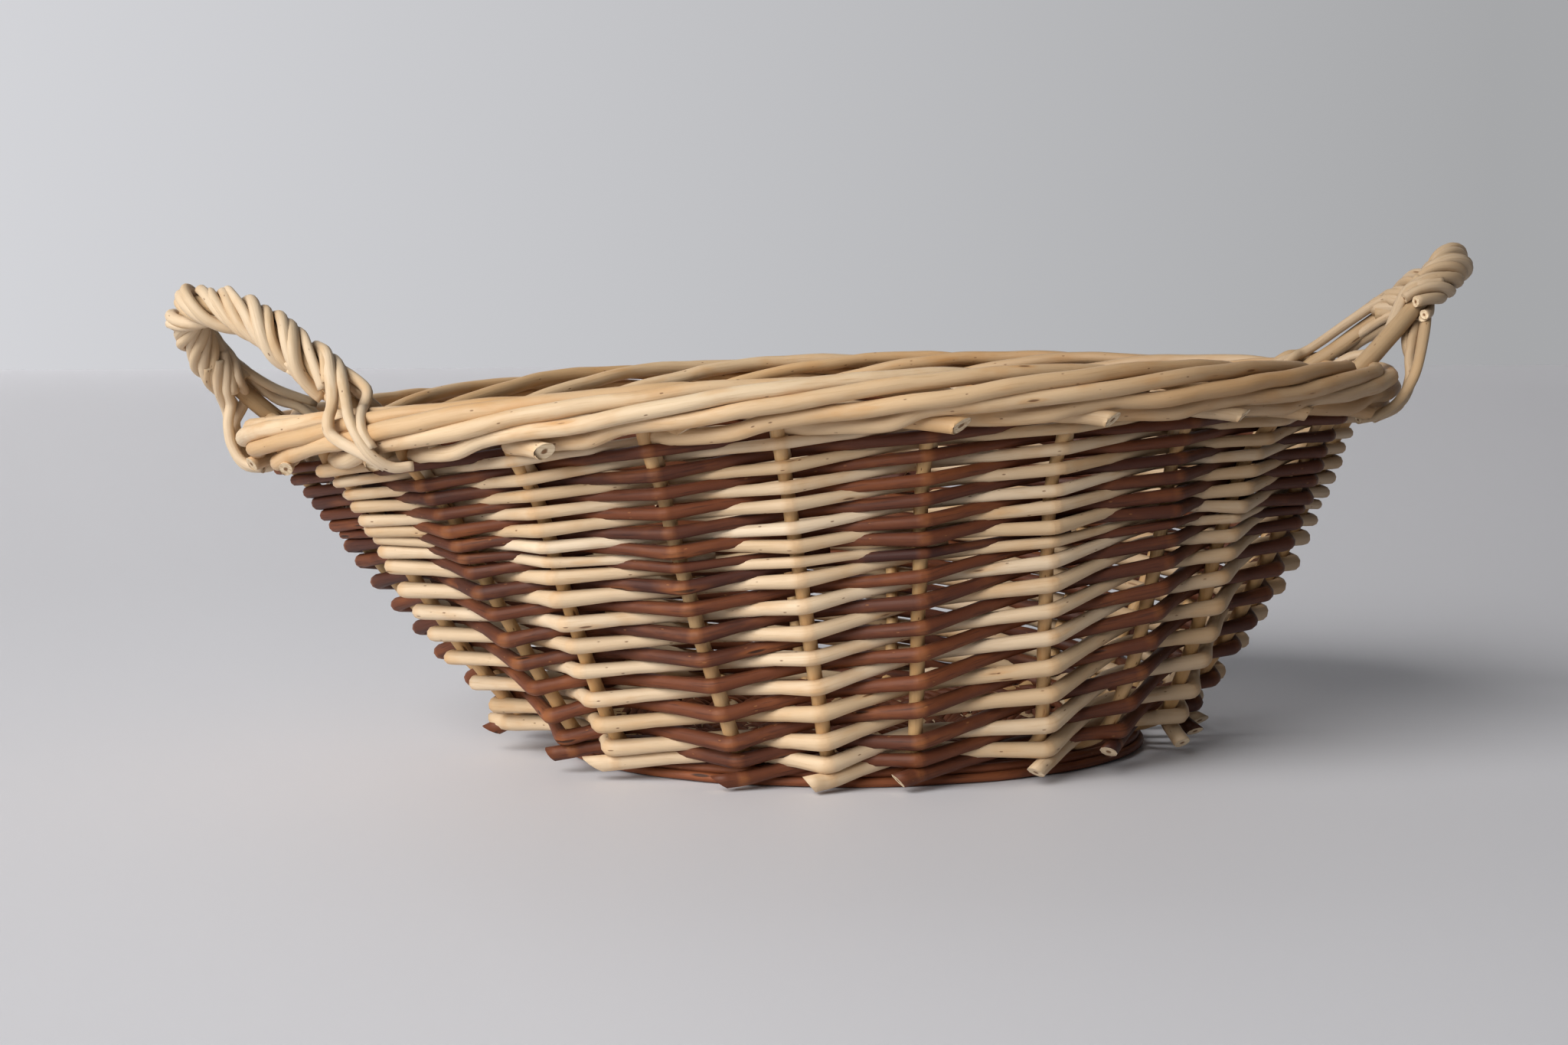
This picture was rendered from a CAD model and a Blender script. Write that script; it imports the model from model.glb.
import math
import random

import bmesh
import bpy
from mathutils import Matrix, Vector, noise


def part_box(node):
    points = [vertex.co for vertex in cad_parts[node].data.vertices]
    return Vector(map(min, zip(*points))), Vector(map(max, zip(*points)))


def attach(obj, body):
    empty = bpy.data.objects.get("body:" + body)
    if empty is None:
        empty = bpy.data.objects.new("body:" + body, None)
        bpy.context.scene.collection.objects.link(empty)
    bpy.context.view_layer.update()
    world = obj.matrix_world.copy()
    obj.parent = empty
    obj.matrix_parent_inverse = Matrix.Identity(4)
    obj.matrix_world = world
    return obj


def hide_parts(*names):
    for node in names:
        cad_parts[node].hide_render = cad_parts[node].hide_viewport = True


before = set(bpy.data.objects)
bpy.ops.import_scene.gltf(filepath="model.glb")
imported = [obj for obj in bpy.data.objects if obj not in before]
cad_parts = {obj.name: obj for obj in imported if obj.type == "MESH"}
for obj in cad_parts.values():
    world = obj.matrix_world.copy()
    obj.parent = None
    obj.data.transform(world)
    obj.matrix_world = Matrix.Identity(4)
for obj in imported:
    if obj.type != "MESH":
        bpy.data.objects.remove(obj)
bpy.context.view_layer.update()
scene = bpy.context.scene
scene.view_settings.view_transform = "Standard"

# Camera
# The photograph's view: from a little above the rim, turned a little to the left of the basket.
border_low, border_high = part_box("rolled_border")
rim_x = (border_low.x + border_high.x) / 2
view_height = math.radians(5)
view_turn = math.radians(-9)
view_distance = 0.970
view_right, view_up = -0.019, 0.0925
image_width, focal_pixels, sensor_width = 2048, 3000, 36

camera = bpy.data.objects.new("camera", bpy.data.cameras.new("camera"))
scene.collection.objects.link(camera)
camera.data.sensor_width = sensor_width
camera.data.lens = sensor_width * focal_pixels / image_width
camera.rotation_euler = (math.pi / 2 - view_height, 0, view_turn)
turned = camera.rotation_euler.to_matrix()
camera.location = turned @ Vector((view_right, view_up, view_distance)) + Vector((rim_x, 0, 0))
scene.camera = camera

# Sticks of the base
# Seven short willow sticks lie side by side, and three thinner long ones are threaded through
# splits in them. They are peeled rods with cut ends, hidden but for the gaps in the weave.
draw = random.Random(24)


class Shade:
    """A socket of one material, so that shader maths reads as plain expressions."""

    def __init__(self, tree, socket):
        self.tree = tree
        self.socket = socket

    def node(self, kind, settings=(), **values):
        made = self.tree.nodes.new(kind)
        for name, value in dict(settings).items():
            if name == "stops":
                for k, (place, tint) in enumerate(value):
                    stop = made.color_ramp.elements
                    stop = stop[k] if k < 2 else stop.new(place)
                    stop.position = place
                    stop.color = (*tint, 1)
            else:
                setattr(made, name, value)
        for name, value in values.items():
            socket = made.inputs[int(name[1:])] if name[1:].isdigit() else made.inputs[name.replace("_", " ")]
            if isinstance(value, Shade):
                self.tree.links.new(value.socket, socket)
            else:
                socket.default_value = value
        return made

    def maths(self, operation, *terms):
        made = self.node("ShaderNodeMath", {"operation": operation}, **{f"i{k}": t for k, t in enumerate(terms)})
        return Shade(self.tree, made.outputs[0])

    def __add__(self, other):
        return self.maths("ADD", self, other)

    def __sub__(self, other):
        return self.maths("SUBTRACT", self, other)

    def __mul__(self, other):
        return self.maths("MULTIPLY", self, other)

    def __truediv__(self, other):
        return self.maths("DIVIDE", self, other)

    def __rsub__(self, other):
        return self.maths("SUBTRACT", other, self)

    __radd__ = __add__
    __rmul__ = __mul__

    def above(self, start, end):
        made = self.node("ShaderNodeMapRange", {"interpolation_type": "SMOOTHSTEP"}, Value=self, i1=start, i2=end)
        return Shade(self.tree, made.outputs[0])

    def tint(self, low, high):
        """Mixes two colours, given or made by other nodes, by this value."""
        made = self.node("ShaderNodeMix", {"data_type": "RGBA"}, i0=self)
        for k, value in ((6, low), (7, high)):
            if isinstance(value, Shade):
                self.tree.links.new(value.socket, made.inputs[k])
            else:
                made.inputs[k].default_value = (*value, 1)
        return Shade(self.tree, made.outputs[2])


def willow(name, pale, deep, warm, scar, shine, bark=False):
    """Willow with its long streaks, blotches, worn bends, specks and knots, from what each rod carries."""
    made = bpy.data.materials.new(name)
    made.use_nodes = True
    tree = made.node_tree
    surface = tree.nodes["Principled BSDF"]
    start = Shade(tree, None)

    def carried(attribute, output="Fac"):
        return Shade(tree, start.node("ShaderNodeAttribute", {"attribute_name": attribute}).outputs[output])

    grain, tone, bend, cut = carried("grain", "Vector"), carried("tone"), carried("bend"), carried("cut")

    def stretched(along, across):
        made = start.node("ShaderNodeVectorMath", {"operation": "MULTIPLY"}, i0=grain, i1=(along, across, across))
        return Shade(tree, made.outputs[0])

    def clouds(along, across, detail=3.0):
        made = start.node(
            "ShaderNodeTexNoise", Vector=stretched(along, across), Scale=1.0, Detail=detail, Roughness=0.6
        )
        return Shade(tree, made.outputs["Fac"])

    def spots(along, across, share, size):
        """Round marks in some of the cells of a scattered pattern, and the paler ring round each."""
        made = start.node("ShaderNodeTexVoronoi", Vector=stretched(along, across), Scale=1.0, Randomness=1.0)
        lot = Shade(tree, start.node("ShaderNodeSeparateColor", Color=Shade(tree, made.outputs["Color"])).outputs[0])
        far, chosen = Shade(tree, made.outputs["Distance"]), lot.above(1 - share, 1.02 - share)
        return (1 - far.above(size * 0.5, size)) * chosen, (1 - far.above(size, size * 2.6)) * chosen

    streaks, fibres = clouds(55, 1100), clouds(120, 3200, 2.0)
    blotches, swells = clouds(38, 100), clouds(8, 30, 1.0)
    knot, halo = spots(40, 240, 0.24, 0.19 if bark else 0.13)
    speck, spill = spots(190, 520, 0.22, 0.17)
    body = (tone * 0.75 + swells.above(0.35, 0.65) * 0.25).tint(pale, deep)
    body = (blotches.above(0.46, 0.72) * 0.5 + bend * 0.35 + halo * 0.4).tint(body, warm)
    body = (streaks.above(0.52, 0.74) * (0.6 if bark else 0.34) + fibres.above(0.6, 0.8) * 0.2).tint(body, scar)
    dark = (0.02, 0.009, 0.006) if bark else (0.13, 0.048, 0.016)
    body = (knot * 0.85 + speck * (0.0 if bark else 0.75)).tint(body, dark)
    if bark:
        rubbed = bend * blotches.above(0.42, 0.6) * 0.22 + speck * 0.5
        body = rubbed.tint(body, (0.36, 0.15, 0.052))
    place = start.node("ShaderNodeSeparateXYZ", Vector=Shade(tree, start.node("ShaderNodeTexCoord").outputs["Object"]))
    aged = Shade(tree, place.outputs[0]).above(-0.02, 0.17) * 0.55
    body = aged.tint(body, [k * share for k, share in zip(deep, (0.42, 0.36, 0.30))])
    wood = (streaks.above(0.35, 0.7)).tint((0.74, 0.60, 0.42), (0.52, 0.37, 0.22))
    pith = (cut + fibres * 0.35 - 0.15).above(1.62, 1.8)
    colour = (cut.above(0.3, 0.7)).tint(body, pith.tint(wood, (0.20, 0.10, 0.045)))
    tree.links.new(colour.socket, surface.inputs["Base Color"])
    rough = streaks * 0.22 + shine + (cut.above(0.3, 0.7)) * 0.25
    tree.links.new(rough.socket, surface.inputs["Roughness"])
    surface.inputs["Specular IOR Level"].default_value = 0.24 if bark else 0.32
    height = streaks * 0.5 + blotches * 0.8 + fibres * 0.25 - knot * 1.2 - speck * 0.5 + clouds(420, 300) * bend * 1.3
    bump = start.node("ShaderNodeBump", Strength=0.6, Distance=0.0004, Height=height)
    tree.links.new(bump.outputs["Normal"], surface.inputs["Normal"])
    return made


def rounded(corners, reaches, steps=3, between=1):
    """Points along straight runs whose corners are rounded, with how sharply each point bends. It is a little
    below zero half-way along a run, where crossing rods press each other thinner."""
    points, bends = [corners[0]], [0.0]
    for k in range(1, len(corners) - 1):
        before, corner, after = corners[k - 1], corners[k], corners[k + 1]
        reach, sharp = reaches[k]
        start = corner.lerp(before, min(0.45, reach / (corner - before).length))
        end = corner.lerp(after, min(0.45, reach / (after - corner).length))
        last = points[-1]
        for j in range(1, between + 1):
            points.append(last.lerp(start, j / (between + 1)))
            bends.append(-0.01 if k > 1 else 0.0)
        for j in range(steps + 1):
            u = j / steps
            points.append(start * (1 - u) ** 2 + corner * 2 * u * (1 - u) + end * u * u)
            bends.append(sharp * 4 * u * (1 - u))
    for j in range(1, between + 1):
        points.append(points[-1].lerp(corners[-1], 0.5))
        bends.append(0.0)
    points.append(corners[-1])
    bends.append(0.0)
    return points, bends


def smooth_path(corners, steps=6):
    """Points on one smooth curve through the corners."""
    ends = [corners[0] * 2 - corners[1], *corners, corners[-1] * 2 - corners[-2]]
    points = []
    for k in range(1, len(ends) - 2):
        a, b, c, d = ends[k - 1 : k + 3]
        for j in range(steps):
            u = j / steps
            points.append(
                (b * 2 + (c - a) * u + (a * 2 - b * 5 + c * 4 - d) * u**2 + (b * 3 - a - c * 3 + d) * u**3) / 2
            )
    return points + [corners[-1]]


class Rods:
    """Rods grown into one mesh. Each is a ring that is extruded along its path and closed by cut ends."""

    def __init__(self):
        self.mesh = bpy.data.meshes.new("rods")

    def grow(self, path, thickness, bends=None, sides=10, cuts=(None, None), wander=0.0003, tone=None, oval=0.06):
        """thickness is a function of the share of the way along; cuts face the ends another way."""
        bm = bmesh.new()
        grain = bm.verts.layers.float_vector.new("grain")
        tones, bent, cut = (bm.verts.layers.float.new(name) for name in ("tone", "bend", "cut"))
        tone = draw.random() if tone is None else tone
        shift = Vector((draw.uniform(0, 50), draw.uniform(0, 50), draw.uniform(0, 50)))
        flat = draw.uniform(-oval, oval)
        oval = Matrix.Diagonal((1 + flat, 1 - flat, 1, 1))
        lengths = [0.0]
        for a, b in zip(path, path[1:]):
            lengths.append(lengths[-1] + (b - a).length)
        points = [p + noise.noise_vector(shift + Vector((s * 45, 0, 0))) * wander for p, s in zip(path, lengths)]
        last = len(points) - 1
        side = (points[1] - points[0]).orthogonal()
        ring, before = None, None
        for k, p in enumerate(points):
            heading = (points[min(k + 1, last)] - points[max(k - 1, 0)]).normalized()
            side = (side - heading * side.dot(heading)).normalized()
            radius = thickness(lengths[k] / lengths[-1]) / 2
            radius *= 1 + 0.05 * noise.noise(shift + Vector((lengths[k] * 90, 3, 0)))
            radius *= 0.87 if bends and bends[k] < 0 else 1.0
            turn = Matrix((side, heading.cross(side), heading)).transposed().to_4x4()
            lean = Matrix.Identity(4)
            facing = cuts[0] if k == 0 else cuts[1] if k == last else None
            if facing:
                facing = turn.transposed() @ facing
                lean[2][0], lean[2][1] = -facing.x / facing.z, -facing.y / facing.z
            place = Matrix.Translation(p) @ turn @ lean @ oval @ Matrix.Scale(radius, 4)
            if ring is None:
                ring = bmesh.ops.create_circle(bm, segments=sides, radius=1, matrix=place)["verts"]
                edges = bm.edges[:]
                start = edges
            else:
                made = bmesh.ops.extrude_edge_only(bm, edges=edges)["geom"]
                ring = [v for v in made if isinstance(v, bmesh.types.BMVert)]
                edges = [e for e in made if isinstance(e, bmesh.types.BMEdge) and e.verts[0] in ring and e.verts[1] in ring]
                bmesh.ops.transform(bm, matrix=place @ before.inverted(), verts=ring)
            before, back = place, turn.inverted()
            for v in ring:
                flat = back @ (v.co - p)
                v[grain] = shift + Vector((lengths[k], flat.x, flat.y))
                v[tones] = tone
                v[bent] = max(0.0, bends[k]) if bends else 0.0
        for end in (start, edges):
            cap = bmesh.ops.contextual_create(bm, geom=end)["faces"]
            bmesh.ops.inset_individual(bm, faces=cap, thickness=0.0002, use_even_offset=True)
            rim = cap[0].verts[:]
            middle = bmesh.ops.poke(bm, faces=cap)["verts"]
            for v in rim + middle:
                v[cut], v[tones], v[grain] = 1.0 if v in rim else 2.0, tone, shift + v.co
        bmesh.ops.recalc_face_normals(bm, faces=bm.faces[:])
        for f in bm.faces:
            f.smooth = len(f.verts) == 4 and not all(v[cut] for v in f.verts)
        bm.from_mesh(self.mesh)
        bm.to_mesh(self.mesh)
        bm.free()

    def piece(self, name, material, slot, *nodes):
        self.mesh.name = name
        self.mesh.materials.append(material)
        made = bpy.data.objects.new(name, self.mesh)
        scene.collection.objects.link(made)
        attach(made, "root")
        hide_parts(*nodes)
        return made


peeled = willow(
    "peeled_willow", (0.71, 0.57, 0.41), (0.55, 0.38, 0.215), (0.54, 0.31, 0.135), (0.42, 0.255, 0.12), 0.42
)
stick_finish = willow(
    "stick_willow", (0.58, 0.42, 0.25), (0.46, 0.31, 0.165), (0.42, 0.24, 0.10), (0.33, 0.19, 0.09), 0.48
)
long_low, long_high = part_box("base_long_sticks")
cross_low, cross_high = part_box("base_cross_sticks")
stick_z = (cross_low.z + cross_high.z) / 2
base_x = (long_low.x + long_high.x) / 2
base_half = Vector((0.115, 0.092, 0))
long_stick_d, cross_stick_d, cross_pitch = 0.006, 0.010, 0.024

sticks = Rods()
for j in (-1, 0, 1):
    y = j * (long_high.y - long_low.y - long_stick_d) / 2
    ends = [Vector((long_low.x, y, stick_z)), Vector((base_x, y, stick_z)), Vector((long_high.x, y, stick_z))]
    sticks.grow(smooth_path(ends, 5), lambda u: long_stick_d, sides=12)
sticks.piece("long_sticks", stick_finish, "stick_willow", "base_long_sticks")
sticks = Rods()
for j in range(-3, 4):
    x = j * cross_pitch
    reach = (base_half.y * math.sqrt(1 - (x / base_half.x) ** 2)) - 0.022
    ends = [Vector((base_x + x, side * reach, stick_z)) for side in (-1, 0, 1)]
    sticks.grow(smooth_path(ends, 5), lambda u: cross_stick_d, sides=12)
sticks.piece("cross_sticks", stick_finish, "stick_willow", "base_cross_sticks")

# Weave of the base
# Pairs of thin brown rods go round the sticks, one over and one under, and swap between them. The
# last rounds show as a red-brown ring under the side.
bark = willow(
    "brown_willow", (0.155, 0.046, 0.018), (0.048, 0.016, 0.012), (0.25, 0.080, 0.026), (0.024, 0.010, 0.008),
    0.44, bark=True,
)
base_bark = willow(
    "base_willow", (0.20, 0.060, 0.024), (0.10, 0.032, 0.016), (0.27, 0.085, 0.028), (0.04, 0.016, 0.010),
    0.46, bark=True,
)
base_rod_d, base_round_pitch, base_rounds = 0.0034, 0.0042, 18
base_weave = Rods()
for k in range(base_rounds):
    inset = 0.003 + k * base_round_pitch
    a, b = base_half.x - inset, base_half.y - inset
    crossings = 20
    steps = crossings * 4
    for rod in (0, 1):
        path = []
        for j in range(steps + 1):
            t = 2 * math.pi * j / steps + k * 0.4
            swing = math.cos(math.pi * j / 4 + rod * math.pi)
            path.append(Vector((base_x + a * math.cos(t), b * math.sin(t), stick_z + swing * 0.0050)))
        base_weave.grow(path, lambda u: base_rod_d, sides=6, wander=0.0004, tone=0.3 + 0.7 * draw.random())
base_weave.piece("base_weave_rods", base_bark, "brown_willow", "base_weave")
ring_rods = Rods()
for k, (out, z) in enumerate(((0.0060, 0.0022), (0.0020, 0.0024), (0.0042, 0.0052), (0.0002, 0.0056))):
    steps = 96
    path = []
    for j in range(steps + 1):
        t = 2 * math.pi * j / steps + k
        path.append(
            Vector((base_x + (base_half.x + out) * math.cos(t), (base_half.y + out) * math.sin(t), z))
        )
    ring_rods.grow(path, lambda u: 0.0038, sides=8, wander=0.0005, tone=0.1)
ring_rods.piece("base_edge_rods", base_bark, "brown_willow", "base_edge_ring")

# Stakes
# Twenty-four peeled rods are pushed into the base at their butts, bent up and woven round.
stake_count = 24
wall_foot, wall_rim = Vector((0.121, 0.098, 0)), Vector((0.216, 0.144, 0))
wall_height, rim_rise, rim_dip = 0.142, 0.010, 0.010
base_shift, wall_bulge, top_flare, flare_start = 0.011, 0.42, 0.006, 0.88
stake_d = 0.0056


def rim_z(t):
    return wall_height + rim_rise * math.cos(t) - rim_dip * math.cos(t) ** 2


def wall_point(t, share, out=0.0, up=0.0):
    spread = share + wall_bulge * share * (1 - share)
    flare = top_flare * max(0.0, (share - flare_start) / (1 - flare_start)) ** 2
    half = wall_foot.lerp(wall_rim, spread) + Vector((flare + out, flare + out, 0))
    x = rim_x + half.x * math.cos(t) + base_shift * (1 - share * share)
    return Vector((x, half.y * math.sin(t), share * rim_z(t) + up))


def wall_out(t, share):
    """The direction that points straight out of the sloping side."""
    along = wall_point(t + 0.01, share) - wall_point(t - 0.01, share)
    up = wall_point(t, min(1.0, share + 0.01)) - wall_point(t, max(0.0, share - 0.01))
    return along.cross(up).normalized()


stake_leans = {
    13: (-16, 5, 7), 14: (0.7, 3.3, 3.5), 15: (-2.8, 1.8, 2.7), 16: (6, 1.4, 0), 17: (3.2, 0, -0.3),
    18: (-0.7, 0.6, -1.3), 19: (5.3, 1.1, -4.5), 20: (2.6, 1, -2.8), 21: (12, 1, -11), 22: (4, 0, -5), 23: (0, 0, -2),
}


def stake_angle(i, share):
    """How far round stake i stands at this share of the height; the real ones lean a little."""
    mean = 2 * math.pi * i / stake_count + math.radians(2)
    crowding = math.radians(-7 + 10 * share)
    foot, top, belly = stake_leans.get(i, (0, 0, 0))
    lean = foot * (1 - share) + top * share + belly * 4 * share * (1 - share)
    return mean + crowding * math.sin(2 * mean) + math.radians(lean)


stake_finish = willow(
    "stake_willow", (0.66, 0.44, 0.225), (0.56, 0.34, 0.145), (0.52, 0.24, 0.075), (0.38, 0.20, 0.08), 0.44
)
for i in range(stake_count):
    t = stake_angle(i, 0)
    edge = Vector((base_x + base_half.x * math.cos(t), base_half.y * math.sin(t), 0.0100))
    out = Vector((base_half.y * math.cos(t), base_half.x * math.sin(t), 0)).normalized()
    corners = [edge - out * 0.018, edge - out * 0.006, edge + out * 0.001]
    corners += [wall_point(stake_angle(i, s), s) for s in (0.12, 0.25, 0.4, 0.55, 0.7, 0.85, 1.0)]
    corners += [wall_point(stake_angle(i, 1), 1, up=0.008)]
    stake = Rods()
    stake.grow(smooth_path(corners, 4), lambda u: stake_d * (1.05 - 0.15 * u), wander=0.0006)
    stake.piece(f"stake_rod_{i + 1:02}", stake_finish, "stake_willow", f"stake_{i + 1:02}")

# First set of weaving rods
# One rod starts at each stake, white and brown by turns. It passes in front of a stake and behind the
# next, and climbs as it goes, so that it bends sharply round each stake that it passes in front of.
lower_rows = (0.048, 0.090, 0.155, 0.240, 0.320, 0.400, 0.475, 0.545, 0.610, 0.662)
upper_rows = (0.700, 0.752, 0.803, 0.853, 0.906, 0.960, 0.995)


row_lifts = {
    9: 0.01, 10: 0.04, 11: 0.08, 12: 0.11, 13: 0.12, 14: 0.046, 15: 0.028, 16: -0.013, 17: -0.015, 18: -0.012,
    19: 0.013, 20: 0.052, 21: 0.06, 22: 0.07, 23: 0.065, 0: 0.05, 1: 0.03, 2: 0.01,
}


def row_share(rows, q, stake):
    """The share of the height at which row q passes a stake, where the rows lie a little higher or lower."""
    q = min(max(q, 0), len(rows) - 1)
    k = min(int(q), len(rows) - 2)
    share = rows[k] + (rows[k + 1] - rows[k]) * (q - k)
    return share + row_lifts.get(stake % stake_count, 0.0) * min(1.0, 0.4 + share * 3, (1 - share) * 2.2)


def laid(point, width):
    """The same place, or the lowest one at which a rod of this width still clears the table."""
    return Vector((point.x, point.y, max(point.z, width / 2 + 0.0008)))


def weave(rods, start, rows, thickness, first, last, arch, tone=None):
    """One rod from stroke first to stroke last, in front of a stake at each even stroke."""
    corners, reaches = [], []
    swell = draw.uniform(0.90, 1.08)
    for n in range(first, last + 1):
        stake = start + n
        share = row_share(rows, n / 2, stake)
        front = n % 2 == 0
        width = swell * thickness((n - first) / (last - first))
        out = (1 if front else -1) * (stake_d / 2 + width / 2 + 0.0003)
        t = stake_angle(stake % stake_count, share)
        lift = draw.uniform(-0.0007, 0.0007) + (0 if front else arch * (1.4 - share + 0.3 * math.cos(t) ** 2))
        away = wall_out(t, share).to_2d()
        corner = wall_point(t, share) + (away * out / away.length_squared).to_3d() + Vector((0, 0, lift))
        corners.append(laid(corner, width))
        reaches.append((0.0027, 1.0) if front else (0.012, 0.1))
    width = swell * thickness(0)
    butt = laid(corners[0] + (corners[0] - corners[1]).normalized() * 0.009, width)
    tail = corners[-1] + (corners[-1] - corners[-2]).normalized() * 0.012
    path, bends = rounded([butt, *corners, tail], [(0, 0), *reaches, (0, 0)])
    slant = Vector((draw.uniform(-0.3, 0.3), draw.uniform(-0.3, 0.3), draw.uniform(-1.6, -0.6)))
    facing = (butt - corners[0]).normalized() + slant
    rods.grow(path, lambda u: swell * thickness(u), bends, cuts=(facing, None), wander=0.0004, tone=tone)


def lower_white(u):
    return 0.0066 * (1 - 0.08 * u) * (1 - 0.5 * max(0.0, (u - 0.72) / 0.28) ** 1.5)


def lower_brown(u):
    return 0.0066 * (1 - 0.10 * u) * (1 - 0.45 * max(0.0, (u - 0.72) / 0.28) ** 1.5)


white_rods, brown_rods = Rods(), Rods()
for start in range(stake_count):
    if start % 2:
        weave(white_rods, start, lower_rows, lower_white, 0, 19, 0.0032)
    else:
        weave(brown_rods, start, lower_rows, lower_brown, 0, 19, 0.0022)
white_rods.piece("white_rods_lower", peeled, "white_willow", "side_weave_lower")
brown_rods.piece("brown_rods_lower", bark, "brown_willow", "side_weave_lower")

# Second set of weaving rods
# The same again with thinner rods, which start behind the stakes where the first ones run out.


def upper_white(u):
    return 0.0055 * (1 - 0.12 * u)


def upper_brown(u):
    return 0.0054 * (1 - 0.12 * u)


white_rods, brown_rods = Rods(), Rods()
for start in range(stake_count):
    if start % 2:
        weave(white_rods, start, upper_rows, upper_white, -1, 11, 0.0024)
    else:
        weave(brown_rods, start, upper_rows, upper_brown, -1, 11, 0.0016)
white_rods.piece("white_rods_upper", peeled, "white_willow", "side_weave_upper")
brown_rods.piece("brown_rods_upper", bark, "brown_willow", "side_weave_upper")

# Border
# At each stake a rod comes out under the border, bends to the right and rolls once round the rim:
# up its outer face, over the top, down inside and out again underneath, where it is cut off.
border_finish = willow(
    "border_willow", (0.71, 0.555, 0.375), (0.53, 0.315, 0.14), (0.55, 0.29, 0.105), (0.42, 0.245, 0.105), 0.42
)
border_half = Vector((0.228, 0.156, 0))
border_rod_d = 0.0063
border_z = 0.0088
border_ring = Vector((0.0100, 0.0064, 0))
border_bend = (-0.0090, -0.0085)
border_start = ((0.16, -0.0060, -0.0090), (0.40, -0.0010, -0.0090), (0.70, 0.0040, -0.0088))
border_rolls = (
    (1.0, -55), (1.5, -33), (2.0, -8), (2.5, 20), (3.0, 48), (3.5, 75), (4.0, 103), (4.5, 140), (5.0, 178), (5.3, 210),
)
border_end = ((0.40, -0.0050, -0.0080), (0.16, 0.0022, -0.0094), (0.0, 0.0078, -0.0110))
end_places = {9: 5.42, 10: 5.42, 11: 5.35, 12: 6.13, 13: 6.14, 14: 6.22, 15: 5.9}
hidden_ends = (9, 11)
border_tones = {9: 0.3, 10: 0.05, 11: 0.9, 12: 0.8, 13: 0.3, 14: 0.1, 15: 0.35, 16: 0.6, 17: 0.45, 18: 0.65, 19: 0.5}


def border_point(t, out=0.0, rise=0.0):
    return Vector((
        rim_x + (border_half.x + out) * math.cos(t),
        (border_half.y + out) * math.sin(t),
        rim_z(t) + border_z + rise,
    ))


def rim_angle(stake):
    """How far round the rim a place lies that is given as a stake's number and a share of the way on."""
    a, b = (stake_angle(int(k) % stake_count, 1) + 2 * math.pi * (int(k) // stake_count) for k in (stake, stake + 1))
    return a + (b - a) * (stake % 1)


border_rods = Rods()
for i in range(stake_count):
    shift, turned_by = draw.uniform(-0.06, 0.06), draw.uniform(-5, 5)
    swell = draw.uniform(0.95, 1.05)
    bend = border_point(rim_angle(i), *border_bend)
    run = [border_point(rim_angle(i + p), out, rise) for p, out, rise in border_start]
    for p, turn in border_rolls:
        a = math.radians(turn + turned_by + draw.uniform(-3, 3))
        lift = swell + draw.uniform(-0.035, 0.035)
        place = rim_angle(i + p + shift)
        run.append(border_point(place, border_ring.x * lift * math.cos(a), border_ring.y * lift * math.sin(a)))
    end = i + end_places.get(i, draw.uniform(5.8, 6.2))
    tuck = 0.009 if i in hidden_ends else 0.0
    run += [border_point(rim_angle(end - back), out - tuck, rise + tuck / 3) for back, out, rise in border_end]
    start, bends = rounded([wall_point(rim_angle(i), 0.92), bend, run[0]], [(0, 0), (0.0026, 1.0), (0, 0)])
    run = smooth_path(run, 6)
    size = border_rod_d * draw.uniform(0.92, 1.06)
    away = (run[-1] - border_point(rim_angle(end))).normalized()
    along = (run[-1] - run[-2]).normalized()
    border_rods.grow(
        start + run[1:], lambda u: size * (1.0 - 0.05 * u), bends + [0.0] * len(run[1:]), sides=12, wander=0.0009,
        cuts=(None, along + away * draw.uniform(1.3, 2.2)), tone=border_tones.get(i, draw.random()),
    )
border_rods.piece("border_rods", border_finish, "border_willow", "rolled_border")

# Handles
# A thick rod is bent into a bow at each end and pushed down into the wall. Eight thin rods wind round
# it, cross over the border and are tucked away under it.
handle_finish = willow(
    "handle_willow", (0.72, 0.58, 0.42), (0.56, 0.405, 0.245), (0.55, 0.34, 0.155), (0.40, 0.25, 0.12), 0.46
)
bow_d, strand_d, strands, strand_pitch = 0.0078, 0.0046, 8, 0.056
foot_inset, arch_steps = 0.008, 60


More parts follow.
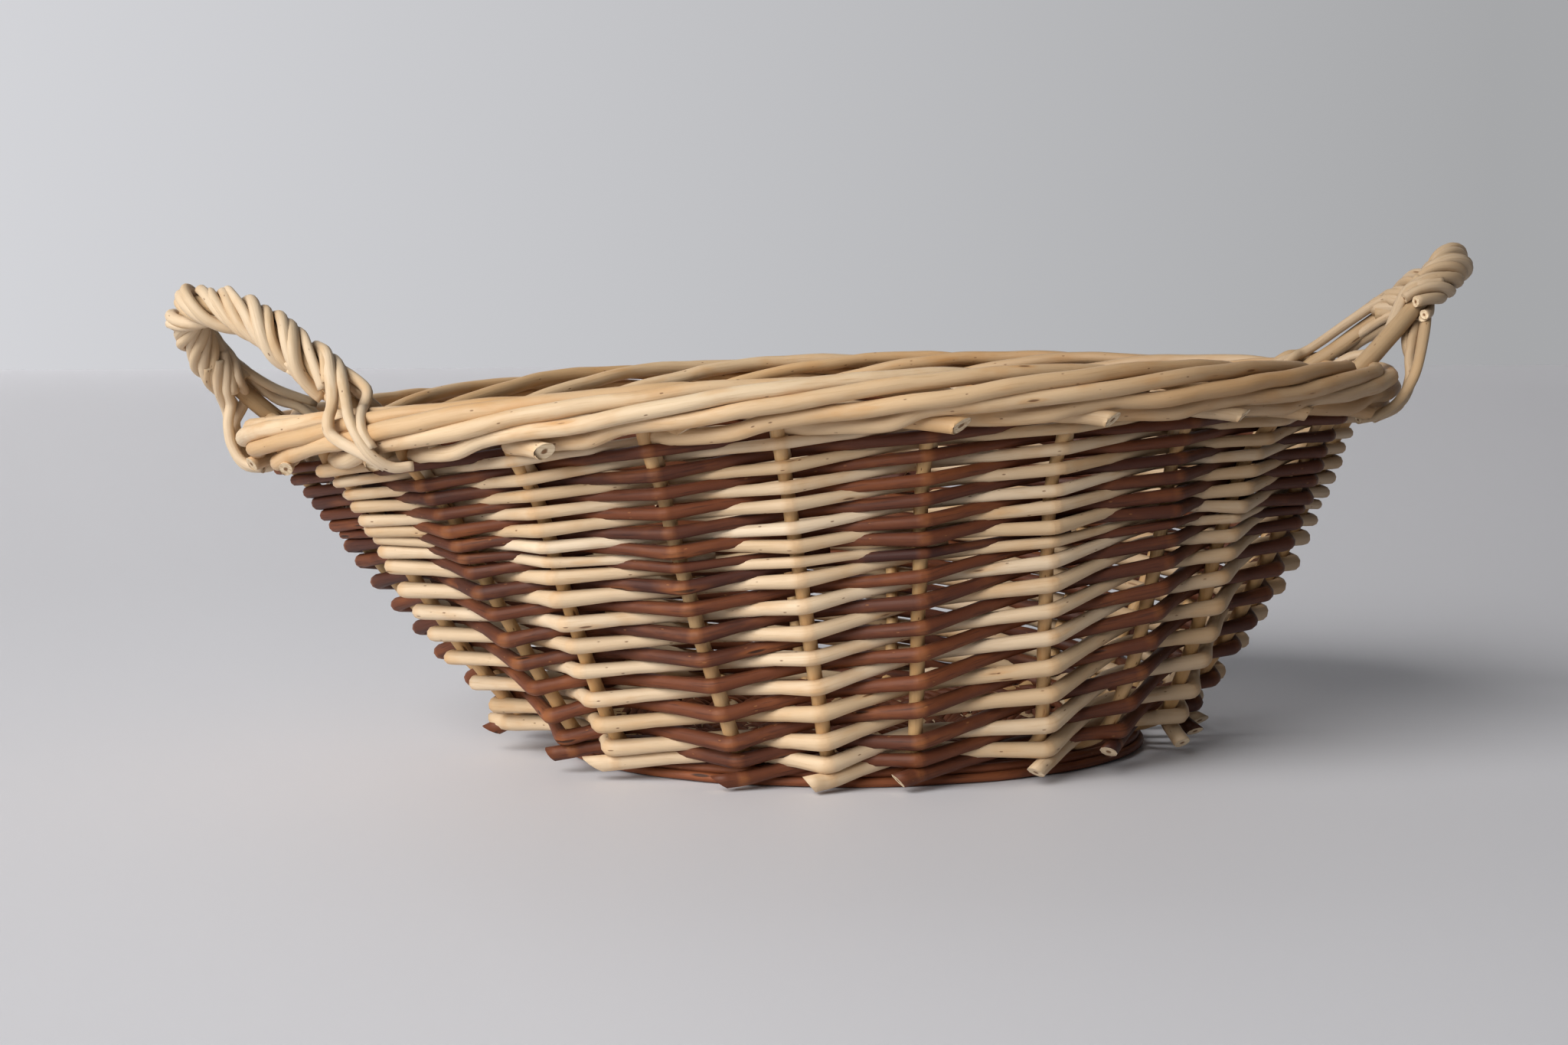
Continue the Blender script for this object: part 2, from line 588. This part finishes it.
def handle(side, ends, lean, twist, wound, tucks):
    """ends are the angles of the feet and of the bow's tips. wound is the stretch of the bow under the roping.
    tucks are the rods that go on from the roping's ends: the turn round the bow and the thickness that each
    has there, and places along, out of and above the border."""
    front, rear, front_tip, rear_tip = (math.radians(angle) for angle in ends)
    near, far = border_point(front, -foot_inset), border_point(rear, -foot_inset)

    def arch(u):
        half = Matrix.Rotation(math.radians(twist) * math.sin(math.pi * u), 3, "Z") @ (far - near) / 2
        return (near + far) / 2 - half * math.cos(math.pi * u) + lean * math.sin(math.pi * u)

    bow = Rods()
    corners = [wall_point(front_tip, 0.78, -0.012), wall_point((front + front_tip) / 2, 0.88, -0.009)]
    corners += [arch(k / 12) for k in range(13)]
    corners += [wall_point((rear + rear_tip) / 2, 0.88, -0.009), wall_point(rear_tip, 0.78, -0.012)]
    bow.grow(smooth_path(corners, 4), lambda u: bow_d * (1.03 - 0.14 * u), sides=12, wander=0.0002)
    bow.piece(f"{side}_bow_rod", stick_finish, "stick_willow", f"{side}_handle_bow")

    points = [arch(k / arch_steps) for k in range(arch_steps + 1)]
    runs = [0.0]
    for a, b in zip(points, points[1:]):
        runs.append(runs[-1] + (b - a).length)
    across = (far - near).cross(lean).normalized()

    def beside(k, turn, reach):
        heading = (points[min(k + 1, arch_steps)] - points[max(k - 1, 0)]).normalized()
        e = (across - heading * across.dot(heading)).normalized()
        return points[k] + (e * math.cos(turn) + heading.cross(e) * math.sin(turn)) * reach

    first, last = (round(share * arch_steps) for share in wound)
    roping = Rods()
    for strand in range(strands):
        size = strand_d * draw.uniform(0.84, 1.14)
        lift, sway = draw.uniform(-0.0005, 0.0004), Vector((draw.uniform(0, 50), 0, 0))
        path = []
        for k in range(first, last + 1):
            stray = noise.noise_vector(sway + Vector((runs[k] * 42, 0, 0)))
            turn = 2 * math.pi * (runs[k] / strand_pitch + strand / strands) + stray.x * 0.75
            path.append(beside(k, turn, (bow_d + size) / 2 + lift + stray.y * 0.0014))
        roping.grow(smooth_path(path, 2), lambda u: size, sides=12, wander=0.0003, oval=0.2)
    roping.piece(f"{side}_roping_rods", handle_finish, "handle_willow", f"{side}_handle_roping")

    for end, foot, k, step in (("front", front, first, 1), ("rear", rear, last, -1)):
        lashing = Rods()
        speed = Vector((border_half.x * math.sin(foot), border_half.y * math.cos(foot))).length
        for turn, width, places in tucks[end]:
            turn, reach = math.radians(turn), (bow_d + strand_d) / 2 + 0.0006
            corners = []
            for ahead in (5, 3, 1):
                on = k + step * ahead
                corners.append(beside(on, turn + 2 * math.pi * (runs[on] - runs[k]) / strand_pitch, reach))
            for along, out, rise in places:
                corners.append(border_point(foot + along / 1000 / speed, out / 1000, rise / 1000))
            size = width / 1000
            lashing.grow(smooth_path(corners, 5), lambda u: size * (1 - 0.15 * u), sides=12, wander=0.0004, oval=0.15)
        lashing.piece(f"{side}_{end}_lashing_rods", handle_finish, "handle_willow", f"{side}_{end}_lashing")


handle(
    "left", (212, 175, 208, 175), Vector((-0.048, 0, 0.050)), 16, (0.11, 0.87),
    {
        "front": (
            (-95, 4.8, ((2, 10, 12), (6.4, 15.5, 5.1), (8.5, 15.5, -0.5), (18.3, 13, -6.7), (24.6, 8, -12.7))),
            (-50, 4.6, ((8, 9, 13), (16.5, 15, 4.5), (22.6, 14, -6.8), (26.6, 8, -12.9), (31, 2, -13))),
            (-15, 4.2, ((5.1, -2, 16.5), (8.2, 2, 9.9), (14, 8, 8), (20, 14, 2), (24, 13, -6))),
            (25, 4.4, ((-2, -5, 15), (-3.3, -14, 8.8), (-2, -17, 1), (0, -17, -6))),
            (60, 4.4, ((-6, -3, 14), (-8, -12, 9.5), (-8, -16.5, 1), (-7, -16.5, -6))),
            (100, 4.2, ((-8, 0, 12), (-12, -8, 10), (-14, -15, 4), (-14, -16.5, -4))),
        ),
        "rear": (
            (190, 4.8, ((5, 18.9, 12), (3, 18.1, 7.2), (2, 17, -3.8), (2.5, 11.9, -12), (3, 4.2, -13.4), (4, -2.5, -11.8))),
            (155, 4.6, ((9, 16, 13), (8.5, 17.2, 5), (8, 16, -4), (9, 11, -11), (12, 3, -13))),
            (105, 4.6, ((4, 11, 14.9), (2, 16, 4.9), (-1, 17.5, -2.4), (-3, 13, -9), (-4, 5, -12.5))),
            (50, 4.0, ((5, -1.2, 19), (-2, -16.7, 12.7))),
            (20, 4.4, ((2, 0, 15), (0, -10, 11), (-1, -16.5, 4), (-1, -16.5, -5))),
            (320, 4.4, ((-3, 2, 16), (-8, -8, 12), (-12, -16, 5), (-13, -16.5, -4))),
            (230, 4.4, ((-3, 17, 12), (-5, 17, 3), (-6, 15, -5), (-6, 9, -11), (-5, 2, -12.5))),
        ),
    },
)
handle(
    "right", (337, 12, 337, 12), Vector((0.059, 0, 0.050)), -13, (0.20, 0.82),
    {
        "front": (
            (20, 4.8, ((12, 16, 16), (9, 15.5, 10.1), (6, 16, 2.1), (2, 12.5, -8.5), (-6, 4, -13.5))),
            (340, 4.6, ((5, 20, 12), (-1.5, 18, 2.2), (-9, 14, -7), (-18, 9, -12), (-25, 3, -14))),
            (60, 4.4, ((14, 14, 15), (14, 16.5, 8), (12, 16, 0), (9, 12.5, -8), (4, 4, -13))),
            (150, 4.2, ((8, 4, 15), (9, -8, 11), (10, -16, 5), (10, -17, -4))),
        ),
        "rear": (
            (110, 4.4, ((-5, 13, 15), (0, 4.8, 10.5), (3, -6, 10), (5, -15, 6), (6, -17, -2))),
            (70, 4.6, ((-6, 17, 14), (-7, 17.2, 5), (-6, 15.4, -3), (-4, 11, -9), (-2, 3, -12.5))),
            (10, 4.6, ((0, 19, 14), (0, 17.5, 7), (0, 15.8, -2), (1, 12, -8.5), (3, 5, -12.5))),
            (330, 4.6, ((6, 18, 14), (7, 17, 6), (8, 15.4, -2), (9, 11, -9), (10, 3, -12.5))),
            (180, 4.4, ((-1, 0, 14), (-1, -9, 10), (0, -16, 3), (1, -16.5, -6))),
            (230, 4.2, ((3, 2, 14), (6, -8, 11), (9, -16, 4), (10, -16.5, -5))),
        ),
    },
)

# Floor, backdrop and lights
# A plain pale table with a plain wall far behind it, under soft light from the left.


def plain(name, left, right, glow=False):
    """Paint that goes evenly from one tint to another and, on the floor, darkens with the distance. A glowing
    one shows its own tint to the camera."""
    made = bpy.data.materials.new(name)
    made.use_nodes = True
    tree = made.node_tree
    surface = tree.nodes["Principled BSDF"]
    surface.inputs["Roughness"].default_value = 0.6
    start = Shade(tree, None)
    place = start.node("ShaderNodeSeparateXYZ", Vector=Shade(tree, start.node("ShaderNodeTexCoord").outputs["Object"]))
    x, y = Shade(tree, place.outputs[0]), Shade(tree, place.outputs[1])
    colour = (x / (y + 1.1) * 1.515 + 0.303).tint(left, right)
    if not glow:
        colour = (y.above(-0.5, 0.8) * 0.14 + y.above(0.8, 5) * 0.05).tint(colour, (0.0, 0.0, 0.0))
    tree.links.new(colour.socket, surface.inputs["Base Color"])
    if glow:
        shown = Shade(tree, start.node("ShaderNodeEmission", Color=colour).outputs[0])
        seen = Shade(tree, start.node("ShaderNodeLightPath").outputs["Is Camera Ray"])
        mixed = start.node("ShaderNodeMixShader", i0=seen, i1=Shade(tree, surface.outputs[0]), i2=shown)
        tree.links.new(mixed.outputs[0], tree.nodes["Material Output"].inputs["Surface"])
    return made


def sheet_of(name, size, place, material):
    bm = bmesh.new()
    bmesh.ops.create_grid(bm, x_segments=1, y_segments=1, size=size, matrix=place)
    mesh = bpy.data.meshes.new(name)
    bm.to_mesh(mesh)
    bm.free()
    mesh.materials.append(material)
    made = bpy.data.objects.new(name, mesh)
    scene.collection.objects.link(made)


wall_distance = 7.9
sheet_of("floor", 12, Matrix.Identity(4), plain("floor_paint", (0.77, 0.77, 0.81), (0.53, 0.53, 0.56)))
sheet_of(
    "backdrop", 12,
    Matrix.Translation((0, wall_distance, 0)) @ Matrix.Rotation(math.pi / 2, 4, "X"),
    plain("wall_paint", (0.658, 0.662, 0.69), (0.383, 0.387, 0.397), glow=True),
)
window_turn, window_height = math.radians(52), math.radians(29)
window = bpy.data.objects.new("window", bpy.data.lights.new("window", "SUN"))
window.data.angle = math.radians(46)
window.data.energy = 4.1
window.data.color = (1.0, 0.985, 0.96)
window.rotation_euler = Vector((
    -math.sin(window_turn) * math.cos(window_height),
    -math.cos(window_turn) * math.cos(window_height),
    math.sin(window_height),
)).to_track_quat("Z", "Y").to_euler()
scene.collection.objects.link(window)
world = bpy.data.worlds.new("room")
scene.world = world
world.use_nodes = True
world.node_tree.nodes["Background"].inputs["Color"].default_value = (0.93, 0.96, 1.0, 1)
world.node_tree.nodes["Background"].inputs["Strength"].default_value = 0.10
